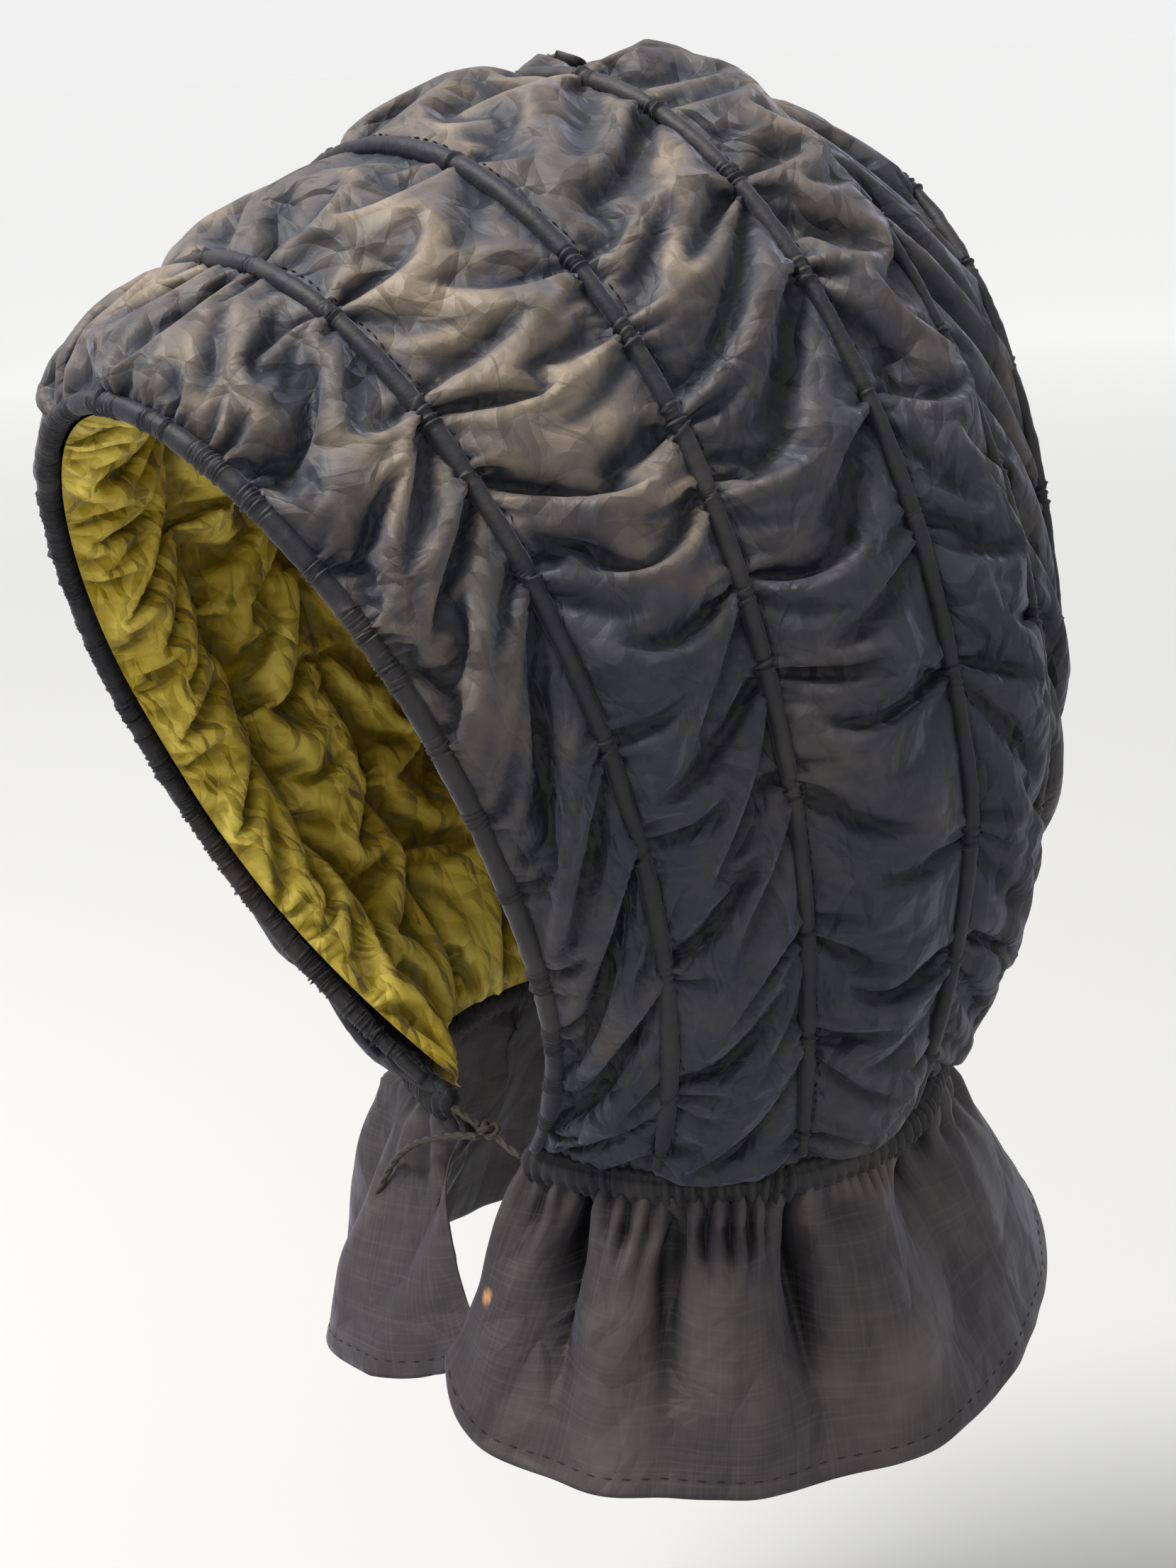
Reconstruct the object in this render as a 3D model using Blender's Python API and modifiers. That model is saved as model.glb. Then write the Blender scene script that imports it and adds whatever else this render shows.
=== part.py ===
"""Calash: a folding bonnet of dark silk on six cane hoops, lined with yellow silk.

The hoops spring from a gathered neck casing and lean forward one after another, like a carriage top.
A flared curtain hangs from the casing over the shoulders, and the casing's drawstring ties at the throat.
Metres, +Z up. The face looks to -Y and the wearer's left is +X. The origin is the point under the crown
where the head bears on the lining.
"""

import math
from collections import namedtuple

import bpy
import numpy as np

# The neck line is an ellipse round the throat and nape, lower in front, that sags at the sides.
NECK_CENTRE = np.array([0.0, 0.020, -0.3105])
NECK_HALF_WIDTH = 0.095
NECK_HALF_DEPTH = 0.081
NECK_RISE = 0.128
NECK_SAG = 0.012
RIGHT_LIFT = 0.008  # the right front is tied this much higher than the left
NAPE_DEG = 168.0  # the back piece meets the casing between this angle and its mirror image
CASING_FRONT_DEG = 11.0

GAP = 0.0003
SILK = 0.0012
LINING_SILK = 0.0010
CASING_R = 0.0045
CASING_POINTS = 41
CASING_RUCHE = 0.9  # the share of its radius that is left between two gathers
HOOP_R = 0.0032
RIM_R = 0.0036
HOOP_SEAT = 0.0047  # how far the silk passes under the line of a hoop
LINING_DEPTH = 0.0080  # how far the lining lies inside the line of the hoops
LINING_FOOT_DEPTH = 0.0038
CLOTH_FOOT = 0.0056  # where the cloth starts above the casing's line
FOOT_REACH = 0.10  # up to here the cloth keeps to the round of the neck
HOOP_FOOT = 0.0100

FOOT_SWELL = 0.0040  # how far the silk swells between two hoops at the casing
SWELL_POWER = 1.5  # how sharply the swell rises between two hoops
SWELL_REACH = 0.09  # its full swell is reached this far up
BACK_BULGE = 0.032
BACK_PLEATS = 8
BACK_PLEAT_DEPTH = 0.0022
TUCK_HALF = 0.016  # half the length of silk that one tuck draws in
TUCK_DRAW = 0.75  # the share of the swell that it takes away
GATHER = 0.0012
GATHER_REACH = 0.03
GATHERS_PER_PANEL = 2.5

STATIONS = 40  # points along a hoop
PANEL_ROWS = (0.0, 0.16, 0.38, 0.62, 0.84)
BACK_ROWS = (0.0, 0.12, 0.32, 0.55, 0.78, 1.0)

# One row a hoop, front to back: where it leaves the neck line, counted from the throat, how far it leans
# forward, its height and half width, the share of its height at which it is widest, the powers that shape
# it above and below that, how far the silk behind it swells, and its tucks, as metres from the crown.
Hoop = namedtuple("Hoop", "neck_deg lean_deg height half_width widest crown_power side_power swell tucks")
HOOPS = (
    Hoop(12, 25.0, 0.278, 0.087, 0.58, 1.8, 2.6, 0.018, (0.022, 0.059, 0.102, 0.140, 0.191, 0.238)),
    Hoop(39, 17.6, 0.304, 0.108, 0.49, 1.9, 2.1, 0.015, (0.045, 0.095, 0.134, 0.185, 0.263, 0.315)),
    Hoop(70, 12.2, 0.324, 0.121, 0.44, 2.4, 1.6, 0.013, (0.030, 0.081, 0.130, 0.185, 0.244, 0.298)),
    Hoop(101, 8.3, 0.332, 0.139, 0.38, 2.1, 1.5, 0.012, (0.015, 0.080, 0.117, 0.192, 0.250, 0.310)),
    Hoop(130, 6.9, 0.322, 0.134, 0.43, 1.9, 1.7, 0.011, (0.065, 0.098, 0.138, 0.210, 0.288)),
    Hoop(150, -1.0, 0.292, 0.108, 0.42, 2.1, 1.8, 0.0, (0.050, 0.110, 0.180, 0.250)),
)

# The curtain's cut: its depth and its flare from the vertical at the front, side and back.
CURTAIN_DEPTH = 0.094
CURTAIN_FRONT_FLARE = 24.0
CURTAIN_SIDE_FLARE = 15.0
CURTAIN_BACK_FLARE = 34.0
CURTAIN_EDGE_DEG = 3.0  # its front edges, at the hem
CURTAIN_CORNER = 0.024  # how far the hem curves up at its front corners
CURTAIN_CORNER_DEG = 5.0
CURTAIN_COLUMNS = 52
CURTAIN_LEVELS = (0.0, 0.16, 0.36, 0.6, 0.82, 1.0)
CURTAIN_TOP = 0.0048  # its top edge lies this far under the casing's line
FOLD_TOP = 0.15  # a fold's depth at the casing and at the hem, as a share of half a wave
FOLD_HEM = 0.85

# One row a fold of the curtain, from the left front round the back: its place, half width and depth.
Fold = namedtuple("Fold", "at_deg half_deg depth")
FOLDS = (
    Fold(22, 7, 0.006),
    Fold(38, 6, -0.007),
    Fold(52, 7, 0.005),
    Fold(70, 8, -0.007),
    Fold(88, 9, 0.004),
    Fold(112, 10, -0.005),
    Fold(138, 11, 0.005),
    Fold(165, 10, -0.006),
    Fold(190, 11, 0.005),
    Fold(215, 11, -0.005),
    Fold(242, 11, 0.005),
    Fold(266, 9, -0.005),
    Fold(286, 8, 0.005),
    Fold(302, 7, -0.006),
    Fold(318, 11, 0.014),
    Fold(330, 6, -0.008),
    Fold(344, 6, 0.006),
)

# The tie: cords of twisted silk from the two ends of the casing to a knot, and a loose end from the knot.
TIE_R = 0.0015
KNOT_AT = (0.0020, -0.0605, -0.3180)
KNOT_HALF = (0.0042, 0.0030, 0.0028)
LEFT_TIE = ((0.0170, -0.0600, -0.3231), (0.0120, -0.0606, -0.3216), (0.0068, -0.0606, -0.3196))
RIGHT_TIE = ((-0.0170, -0.0600, -0.3157), (-0.0090, -0.0604, -0.3172), (-0.0030, -0.0605, -0.3182))
TIE_END = (
    (0.0010, -0.0645, -0.3195),
    (-0.0080, -0.0658, -0.3212),
    (-0.0182, -0.0668, -0.3246),
    (-0.0270, -0.0678, -0.3284),
    (-0.0352, -0.0686, -0.3338),
    (-0.0415, -0.0692, -0.3406),
    (-0.0468, -0.0697, -0.3484),
    (-0.0514, -0.0702, -0.3560),
)
TIE_STEP = 0.0045
ROUTE_FINENESS = 12  # points worked out between two given points of a route
KNOT_SIDES = 10
KNOT_RINGS = 6


def clear_scene():
    for old in list(bpy.data.objects):
        bpy.data.objects.remove(old, do_unlink=True)


def silk_material(name, colour, roughness):
    material = bpy.data.materials.new(name)
    material.use_nodes = True
    shader = material.node_tree.nodes["Principled BSDF"]
    shader.inputs["Base Color"].default_value = (*colour, 1.0)
    shader.inputs["Roughness"].default_value = roughness
    shader.inputs["Metallic"].default_value = 0.0
    return material


def neck_point(angle_deg):
    """A point of the neck line, counted from the throat round by the left."""
    angle = math.radians(angle_deg)
    x = NECK_HALF_WIDTH * math.sin(angle)
    y = -NECK_HALF_DEPTH * math.cos(angle)
    z = y * NECK_RISE - NECK_SAG * abs(math.sin(angle))
    if x < 0:
        z += RIGHT_LIFT * math.cos(angle / 2) ** 2
    return NECK_CENTRE + np.array([x, y, z])


def hoop_line(hoop, samples=160):
    """A whole hoop, from its left foot over the crown to its right foot, finely sampled."""
    t = np.linspace(0, 1, samples)
    rise = (1 - np.cos(math.pi * t)) / 2
    foot = neck_point(hoop.neck_deg)
    below = np.clip(rise / hoop.widest, 0, 1)
    above = np.clip((rise - hoop.widest) / (1 - hoop.widest), 0, 1)
    side = foot[0] + (hoop.half_width - foot[0]) * (1 - (1 - below) ** hoop.side_power)
    crown = hoop.half_width * np.sqrt(1 - above**hoop.crown_power)
    lean = math.radians(hoop.lean_deg)
    x = np.where(rise < hoop.widest, side, crown)
    y = foot[1] - math.sin(lean) * hoop.height * rise
    z = foot[2] + math.cos(lean) * hoop.height * rise
    left = np.stack([x, y, z], axis=1)
    lift = (neck_point(-hoop.neck_deg) - foot)[2] * (1 - rise) ** 3
    right = np.stack([-x, y, z + lift], axis=1)
    return np.concatenate([left, right[-2::-1]])


def along(line, lengths):
    """The points of a line at the given distances from its start."""
    steps = np.linalg.norm(np.diff(line, axis=0), axis=1)
    travelled = np.concatenate([[0], np.cumsum(steps)])
    return np.stack([np.interp(lengths, travelled, line[:, i]) for i in range(3)], axis=1)


def line_length(line):
    return float(np.linalg.norm(np.diff(line, axis=0), axis=1).sum())


def stations(line):
    """Distances along a hoop: the cloth's two feet and, between them, the hoop's own points."""
    length = line_length(line)
    inner = np.linspace(HOOP_FOOT, length - HOOP_FOOT, STATIONS)
    return np.concatenate([[CLOTH_FOOT], inner, [length - CLOTH_FOOT]])


def tuck_pull(hoop, from_crown):
    """How strongly the tucks of a hoop draw the silk in, 0 to 1, by the distance from the crown."""
    pull = np.zeros_like(from_crown)
    for place in hoop.tucks:
        pull = np.maximum(pull, np.exp(-(((from_crown - place) / TUCK_HALF) ** 2)))
    return pull


def hood_rows():
    """Rows of the hood on the lines of the hoops and between them, with the silk's swell at each point."""
    lines = [hoop_line(hoop) for hoop in HOOPS]
    lengths = [stations(line) for line in lines]
    arcs = [along(line, places) for line, places in zip(lines, lengths)]
    crowns = [np.abs(places - line_length(line) / 2) for line, places in zip(lines, lengths)]
    feet = [np.minimum(places, line_length(line) - places) for line, places in zip(lines, lengths)]
    points, swells = [], []
    for k in range(len(HOOPS) - 1):
        for f in PANEL_ROWS:
            crown = crowns[k] * (1 - f) + crowns[k + 1] * f
            foot = feet[k] * (1 - f) + feet[k + 1] * f
            pull = (1 - f) * tuck_pull(HOOPS[k], crown) + f * tuck_pull(HOOPS[k + 1], crown)
            height = FOOT_SWELL + (HOOPS[k].swell - FOOT_SWELL) * np.clip(foot / SWELL_REACH, 0, 1)
            swell = height * math.sin(math.pi * f) ** SWELL_POWER * (1 - TUCK_DRAW * pull)
            gather = math.sin(2 * math.pi * GATHERS_PER_PANEL * f) * math.sin(math.pi * f)
            swell += GATHER * gather * np.exp(-foot / GATHER_REACH)
            row = arcs[k] * (1 - f) + arcs[k + 1] * f
            turn = HOOPS[k].neck_deg * (1 - f) + HOOPS[k + 1].neck_deg * f
            for side, end in ((1, 0), (-1, -1)):
                hem = neck_point(side * turn) + np.array([0, 0, CLOTH_FOOT])
                near = (foot < FOOT_REACH) & (side * row[:, 0] > 0)
                row[near] += (hem - row[end]) * ((1 - foot[near] / FOOT_REACH) ** 2)[:, None]
                row[end] = hem
            points.append(row)
            swells.append(swell * (foot > HOOP_FOOT / 2 + CLOTH_FOOT / 2))
    return points, swells, arcs[-1]


def back_rows(last_arc):
    """Rows of the back piece, from the last hoop down to the casing at the nape."""
    share = np.linspace(0, 1, len(last_arc))
    angles = NAPE_DEG + (360 - 2 * NAPE_DEG) * share
    hem = np.array([neck_point(angle if angle <= 180 else angle - 360) for angle in angles])
    hem[:, 2] += CLOTH_FOOT
    bulge = np.sin(math.pi * share)
    pleats = np.cos(2 * math.pi * BACK_PLEATS * share) * bulge
    rows = []
    for f in BACK_ROWS:
        row = last_arc * (1 - f) + hem * f
        row[:, 1] += BACK_BULGE * math.sin(math.pi * f) * bulge
        row[:, 1] += BACK_PLEAT_DEPTH * math.sin(math.pi * f**2) * pleats
        rows.append(row)
    return rows


def hood_grid():
    """The hood as a grid of points on the lines of the hoops, with each point's outward normal and swell,
    and the share of the hoops' seat that it sinks by: 1 at the hoops and down the sides, 0 at the nape."""
    points, swells, last_arc = hood_rows()
    back = back_rows(last_arc)
    grid = np.array(points + back)
    swell = np.array(swells + [np.zeros(len(last_arc))] * len(back))
    normal = np.cross(np.gradient(grid, axis=1), np.gradient(grid, axis=0))
    normal /= np.maximum(np.linalg.norm(normal, axis=2, keepdims=True), 1e-9)
    middle = NECK_CENTRE + np.array([0, 0, HOOPS[0].height / 2])
    if np.sum(normal * (grid - middle)) < 0:
        normal = -normal
    sink = np.ones(grid.shape[:2])
    sink[len(points):] = np.clip(1 + BACK_ROWS[1] - np.array(BACK_ROWS), 0, 1)[:, None]
    sink[[0, -1]] = 0.0
    sink[:, [0, -1]] = 0.0
    return grid, normal, swell, sink


def sheet_object(name, grid, thickness, material, collection):
    """A thin closed piece from a grid of points on its middle surface."""
    rows, columns = grid.shape[:2]
    faces = []
    for r in range(rows - 1):
        for c in range(columns - 1):
            first = r * columns + c
            faces.append((first, first + 1, first + columns + 1, first + columns))
    mesh = bpy.data.meshes.new(name)
    mesh.from_pydata(grid.reshape(-1, 3).tolist(), [], faces)
    mesh.validate()
    mesh.shade_smooth()
    piece = bpy.data.objects.new(name, mesh)
    collection.objects.link(piece)
    piece.data.materials.append(material)
    shell = piece.modifiers.new("Thickness", "SOLIDIFY")
    shell.thickness = thickness
    shell.offset = 0.0
    return piece


def tube_object(name, points, radius, sides_level, material, collection, radii=None):
    """A round tube with closed ends along the points; radii are shares of the radius, one a point."""
    curve = bpy.data.curves.new(name, "CURVE")
    curve.dimensions = "3D"
    curve.bevel_depth = radius
    curve.bevel_resolution = sides_level
    curve.use_fill_caps = True
    spline = curve.splines.new("POLY")
    spline.points.add(len(points) - 1)
    for i, (point, place) in enumerate(zip(spline.points, points)):
        point.co = (*place, 1.0)
        point.radius = 1.0 if radii is None else radii[i]
    piece = bpy.data.objects.new(name, curve)
    collection.objects.link(piece)
    curve.materials.append(material)
    return piece


def smooth_route(points, step):
    """A smooth curve through the given points, as evenly spaced points."""
    ends = [2 * np.array(points[0]) - points[1], *points, 2 * np.array(points[-1]) - points[-2]]
    knots = np.array(ends, float)
    fine = []
    for a, b, c, d in zip(knots, knots[1:], knots[2:], knots[3:]):
        for t in np.linspace(0, 1, ROUTE_FINENESS, endpoint=False):
            bend = (2 * a - 5 * b + 4 * c - d) * t**2
            twist = (3 * b - a - 3 * c + d) * t**3
            fine.append((2 * b + (c - a) * t + bend + twist) / 2)
    fine.append(knots[-2])
    line = np.array(fine)
    count = max(3, round(line_length(line) / step) + 1)
    return along(line, np.linspace(0, line_length(line), count))


def build_silk_cover(material, collection):
    """The outer silk: one width carried over every hoop and gathered at the nape."""
    grid, normal, swell, sink = hood_grid()
    cover = grid + normal * (swell - HOOP_SEAT * sink)[:, :, None]
    backward = cover[1] - cover[0]
    run = np.gradient(cover[0], axis=0)
    run /= np.linalg.norm(run, axis=1, keepdims=True)
    backward -= run * np.sum(backward * run, axis=1, keepdims=True)
    backward[[0, -1], 2] = 0.0
    clear = RIM_R + 2 * GAP + SILK / 2
    cover[0] += backward / np.linalg.norm(backward, axis=1, keepdims=True) * clear
    sheet_object("silk_cover", cover, SILK, material, collection)


def build_lining(material, collection):
    """The lining: yellow silk inside the hoops from the rim to the nape, on every other row and station."""
    grid, normal, _, _ = hood_grid()
    lining = grid - normal * LINING_DEPTH
    inward = (NECK_CENTRE - grid) * (1, 1, 0)
    inward /= np.linalg.norm(inward, axis=2, keepdims=True)
    for edge in (np.s_[:, 0], np.s_[:, -1], np.s_[-1, :]):
        lining[edge] = grid[edge] + inward[edge] * LINING_FOOT_DEPTH
    rows = [*range(0, grid.shape[0] - 2, 3), grid.shape[0] - 3, grid.shape[0] - 1]
    columns = [0, *range(1, grid.shape[1] - 2, 2), grid.shape[1] - 2, grid.shape[1] - 1]
    sheet_object("lining", lining[np.ix_(rows, columns)], LINING_SILK, material, collection)


def build_hoops(material, collection):
    """Six cane hoops, each in its narrow silk channel."""
    for number, hoop in enumerate(HOOPS, start=1):
        line = hoop_line(hoop)
        points = along(line, stations(line)[1:-1])
        name = "rim_hoop" if number == 1 else f"hoop_{number}"
        tube_object(name, points, RIM_R if number == 1 else HOOP_R, 1, material, collection)


def build_neck_casing(material, collection):
    """The gathered tube that holds the drawstring, open at the throat."""
    angles = np.linspace(CASING_FRONT_DEG, 360 - CASING_FRONT_DEG, CASING_POINTS)
    points = [neck_point(angle if angle <= 180 else angle - 360) for angle in angles]
    ruching = [1.0 if i % 2 else CASING_RUCHE for i in range(len(points))]
    tube_object("neck_casing", points, CASING_R, 1, material, collection, ruching)


def curtain_flare(angle):
    """The curtain's angle from the vertical, in radians, at an angle round the neck."""
    front = (CURTAIN_FRONT_FLARE - CURTAIN_SIDE_FLARE) * max(0.0, math.cos(angle)) ** 2
    back = (CURTAIN_BACK_FLARE - CURTAIN_SIDE_FLARE) * max(0.0, -math.cos(angle)) ** 2
    return math.radians(CURTAIN_SIDE_FLARE + front + back)


def fold_depth(angle_deg):
    """How far the folds push the curtain out at an angle round the neck."""
    depth = 0.0
    for fold in FOLDS:
        depth += fold.depth * math.exp(-(((angle_deg - fold.at_deg) / fold.half_deg) ** 2))
    return depth


def build_curtain(material, collection):
    """The neck curtain: a flared frill with rounded front corners, open at the throat."""
    rows = []
    for level in CURTAIN_LEVELS:
        edge = CASING_FRONT_DEG + (CURTAIN_EDGE_DEG - CASING_FRONT_DEG) * level
        row = []
        for angle_deg in np.linspace(edge, 360 - edge, CURTAIN_COLUMNS + 1):
            from_edge = min(angle_deg, 360 - angle_deg) - edge
            corner = CURTAIN_CORNER * math.exp(-from_edge / CURTAIN_CORNER_DEG) * level**2
            depth = CURTAIN_TOP + (CURTAIN_DEPTH - corner - CURTAIN_TOP) * level
            angle = math.radians(angle_deg)
            flare = curtain_flare(angle)
            out = np.array([math.sin(angle), -math.cos(angle), 0.0])
            wave = math.sin(math.pi * (FOLD_TOP + (FOLD_HEM - FOLD_TOP) * level))
            swing = fold_depth(angle_deg) * wave * min(1.0, level / CURTAIN_LEVELS[1])
            top = neck_point(angle_deg if angle_deg <= 180 else angle_deg - 360)
            reach = math.sin(flare) * (depth - CURTAIN_TOP) + swing
            drop = CURTAIN_TOP + math.cos(flare) * (depth - CURTAIN_TOP)
            row.append(top + out * reach - np.array([0, 0, drop]))
        rows.append(row)
    sheet_object("neck_curtain", np.array(rows), SILK, material, collection)


def build_tie(material, collection):
    """The drawstring's two ends, their knot at the throat, and the end that hangs loose."""
    tube_object("tie_left", smooth_route(LEFT_TIE, TIE_STEP), TIE_R, 2, material, collection)
    tube_object("tie_right", smooth_route(RIGHT_TIE, TIE_STEP), TIE_R, 2, material, collection)
    tube_object("tie_end", smooth_route(TIE_END, TIE_STEP), TIE_R, 2, material, collection)
    bpy.ops.mesh.primitive_uv_sphere_add(
        segments=KNOT_SIDES, ring_count=KNOT_RINGS, radius=1.0, location=KNOT_AT
    )
    knot = bpy.context.object
    knot.name = "tie_knot"
    knot.scale = KNOT_HALF
    knot.data.materials.append(material)
    knot.data.shade_smooth()
    for owner in list(knot.users_collection):
        owner.objects.unlink(knot)
    collection.objects.link(knot)


def main():
    clear_scene()
    collection = bpy.data.collections.new("calash")
    bpy.context.scene.collection.children.link(collection)
    dark = silk_material("dark_silk", (0.030, 0.029, 0.036), 0.5)
    casing = silk_material("casing_silk", (0.022, 0.021, 0.026), 0.55)
    yellow = silk_material("yellow_silk", (0.52, 0.38, 0.08), 0.45)
    curtain = silk_material("curtain_silk", (0.035, 0.031, 0.033), 0.55)
    cord = silk_material("tie_cord", (0.040, 0.035, 0.030), 0.6)
    build_silk_cover(dark, collection)
    build_lining(yellow, collection)
    build_hoops(casing, collection)
    build_neck_casing(casing, collection)
    build_curtain(curtain, collection)
    build_tie(cord, collection)


main()
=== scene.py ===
"""Calash: the looks of a folding silk bonnet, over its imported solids.

The silk is cut longer than the hoops and drawn in at small tucks, then relaxed as cloth between the hoops,
so that it puffs and creases as the real silk does. Metres, +Z up. The face looks to -Y and the wearer's left
is +X.
"""

import math
from collections import namedtuple

import bpy
import numpy as np
from mathutils import Matrix, Vector
from mathutils.bvhtree import BVHTree

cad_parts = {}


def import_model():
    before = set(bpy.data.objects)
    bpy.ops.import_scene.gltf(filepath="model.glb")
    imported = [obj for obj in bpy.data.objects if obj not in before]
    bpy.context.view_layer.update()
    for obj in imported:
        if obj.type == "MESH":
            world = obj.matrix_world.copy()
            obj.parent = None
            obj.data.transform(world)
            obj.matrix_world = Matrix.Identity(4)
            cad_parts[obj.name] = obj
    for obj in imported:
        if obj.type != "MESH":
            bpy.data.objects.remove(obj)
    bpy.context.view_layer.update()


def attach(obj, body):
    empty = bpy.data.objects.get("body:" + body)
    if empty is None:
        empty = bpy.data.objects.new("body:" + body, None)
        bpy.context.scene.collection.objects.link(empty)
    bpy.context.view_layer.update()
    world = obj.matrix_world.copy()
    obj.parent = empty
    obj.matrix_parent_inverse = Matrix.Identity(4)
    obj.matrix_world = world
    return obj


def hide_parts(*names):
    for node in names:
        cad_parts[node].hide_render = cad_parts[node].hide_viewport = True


SEED = 11

# The neck line, as in the part's source.
NECK_CENTRE = np.array([0.0, 0.020, -0.3105])
HOOD_MIDDLE = NECK_CENTRE + np.array([0, 0, 0.14])
NECK_HALF_WIDTH = 0.095
NECK_HALF_DEPTH = 0.081
NECK_RISE = 0.128
NECK_SAG = 0.012
RIGHT_LIFT = 0.008
NAPE_DEG = 168.0
CASING_FRONT_DEG = 11.0
BAND_HALF_HIGH = 0.0056
BAND_HALF_THICK = 0.0038
CLOTH_FOOT = 0.0046
FOOT_REACH = 0.10
HOOP_FOOT = 0.0100
BACK_BULGE = 0.032
RIM_R = 0.0036
CHANNEL_R = (0.0029, 0.0029, 0.0028, 0.0025, 0.0023)  # of the channels behind the rim, front to back

# One row a hoop, front to back, as in the part's source, with the places of its tucks as metres from the
# crown and how much silk each draws in.
Hoop = namedtuple("Hoop", "neck_deg lean_deg height half_width widest crown_power side_power draw tucks")
HOOPS = (
    Hoop(12, 25.0, 0.278, 0.087, 0.58, 1.8, 2.6, 0.0062,
         (0.0, 0.022, 0.042, 0.059, 0.083, 0.102, 0.116, 0.140, 0.165, 0.191, 0.224, 0.252, 0.276, 0.302)),
    Hoop(39, 17.6, 0.304, 0.108, 0.49, 1.9, 2.1, 0.0090,
         (0.012, 0.045, 0.084, 0.105, 0.134, 0.185, 0.222, 0.263, 0.315, 0.344)),
    Hoop(70, 12.2, 0.324, 0.121, 0.44, 2.4, 1.6, 0.0086,
         (0.030, 0.081, 0.107, 0.133, 0.157, 0.185, 0.206, 0.244, 0.292, 0.330, 0.370)),
    Hoop(101, 8.3, 0.332, 0.139, 0.38, 2.1, 1.5, 0.0090,
         (0.015, 0.045, 0.080, 0.117, 0.155, 0.192, 0.240, 0.290, 0.335, 0.375)),
    Hoop(130, 6.9, 0.322, 0.134, 0.43, 1.9, 1.7, 0.0086,
         (0.020, 0.065, 0.098, 0.138, 0.180, 0.225, 0.288, 0.340)),
    Hoop(150, -1.0, 0.292, 0.108, 0.42, 2.1, 1.8, 0.0076,
         (0.015, 0.050, 0.085, 0.120, 0.160, 0.205, 0.250, 0.290)),
)
TUCK_WIDTH = 0.0032
TUCK_PLEATS = 3  # small pleats side by side in each tuck
TUCK_REACH = 0.0060
SEAT = 0.0012  # how far the silk passes under the line of a hoop
COVER_COLUMNS = 481
COVER_ROUNDS = (420, 210)  # of relaxing, on the coarse grid and on the doubled one
LINING_GRID = (201, 9, 16)  # columns, rows a panel and rows of the back
LINING_ROUNDS = (300, 150)
LINING_DRAW = 0.75  # how much its tucks draw in, beside the cover's
PANEL_STEPS = 24
BACK_STEPS = 60
PANEL_SLACK = 1.07
NARROW_SLACK = 0.30
PANEL_FULL = 0.062

CURTAIN_DEPTH = 0.094
CURTAIN_FRONT_FLARE = 24.0
CURTAIN_SIDE_FLARE = 15.0
CURTAIN_BACK_FLARE = 34.0
CURTAIN_EDGE_DEG = 3.0
FAR_EDGE_DEG = 369.0  # the far front edge passes behind the near one at the hem
FAR_TUCKED = 0.010  # how far behind
CURTAIN_CORNER = 0.024
CURTAIN_CORNER_DEG = 5.0
CURTAIN_TOP = 0.0026
CURTAIN_CUT = 0.88  # the width that it was cut to, gathered into the casing
CURTAIN_THICKNESS = 0.0006
CURTAIN_ROWS = 49
CURTAIN_COLUMNS = 531
HEM_LEVEL = 0.935
STAIN_LEVEL = 0.48  # of the small pale spot near the curtain's front edge
STAIN_FROM_EDGE = 0.0052
STAIN_REACH = 0.0026

# The curtain's folds: angle round the neck, half width and depth. A valley is narrow where it leaves the
# casing.
Fold = namedtuple("Fold", "at_deg half_deg depth")
FOLDS = (
    Fold(13, 6, 0.004),
    Fold(24, 3.2, -0.020),
    Fold(33, 6, 0.007),
    Fold(42, 2.2, -0.009),
    Fold(54, 8, 0.009),
    Fold(68, 3.6, -0.023),
    Fold(84, 9, 0.007),
    Fold(108, 9, -0.010),
    Fold(138, 12, 0.006),
    Fold(165, 7, -0.009),
    Fold(190, 11, 0.006),
    Fold(215, 8, -0.008),
    Fold(242, 11, 0.006),
    Fold(266, 6, -0.009),
    Fold(286, 8, 0.005),
    Fold(303, 8.5, 0.020),
    Fold(319, 4.5, -0.014),
    Fold(334, 8, 0.008),
    Fold(349, 3.5, -0.008),
)
# Small hollows and swells close under the casing: angle, level, half sizes and depth.
Dent = namedtuple("Dent", "at_deg level half_deg half_level depth")
DENTS = (
    Dent(16, 0.14, 4, 0.07, -0.0025),
    Dent(33, 0.12, 5, 0.06, -0.0040),
    Dent(54, 0.11, 8, 0.05, -0.0060),
    Dent(54, 0.27, 8, 0.10, 0.0040),
    Dent(80, 0.12, 5, 0.06, -0.0045),
    Dent(106, 0.17, 8, 0.12, -0.0070),
    Dent(126, 0.12, 5, 0.08, -0.0035),
    Dent(343, 0.25, 11, 0.30, -0.0050),
)

PANELS = len(HOOPS) - 1
HOOP_ROWS = range(PANEL_STEPS, PANEL_STEPS * PANELS + 1, PANEL_STEPS)
COVER_WIDTH = 0.95  # about the length of silk over a hoop
HOOP_SHADE = 0.25  # painted shade: how much darker the silk is painted where it meets a hoop

# The silk's start before it is relaxed, and how far it may stand from its base.
COVER_PUFF = 0.005
COVER_LIMITS = (-0.0040, 0.0125)
LINING_PUFF = 0.003
LINING_LIMITS = (-0.012, 0.0008)
LINING_DEPTH = 0.0088
LINING_RIM_DEPTH = 0.0046
LINING_FOOT_INSET = 0.0042
PRESSURE = 0.000007
WEIGHT = 0.000008

# Running stitches beside the hoops, and along the hem.
INSIDE_HOOD = Vector((0, 0, -0.17))
SEAM_BEHIND_HOOP = 0.0043
STITCH_SPACING = 0.0034
STITCH_LENGTH = 0.0022
STITCH_RADII = np.array([0.00010, 0.00034, 0.00010])
HEM_STITCH_SPACING = 0.0058
HEM_STITCH_LENGTH = 0.0030
HEM_STITCH_RADII = np.array([0.00008, 0.00026, 0.00008])

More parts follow.
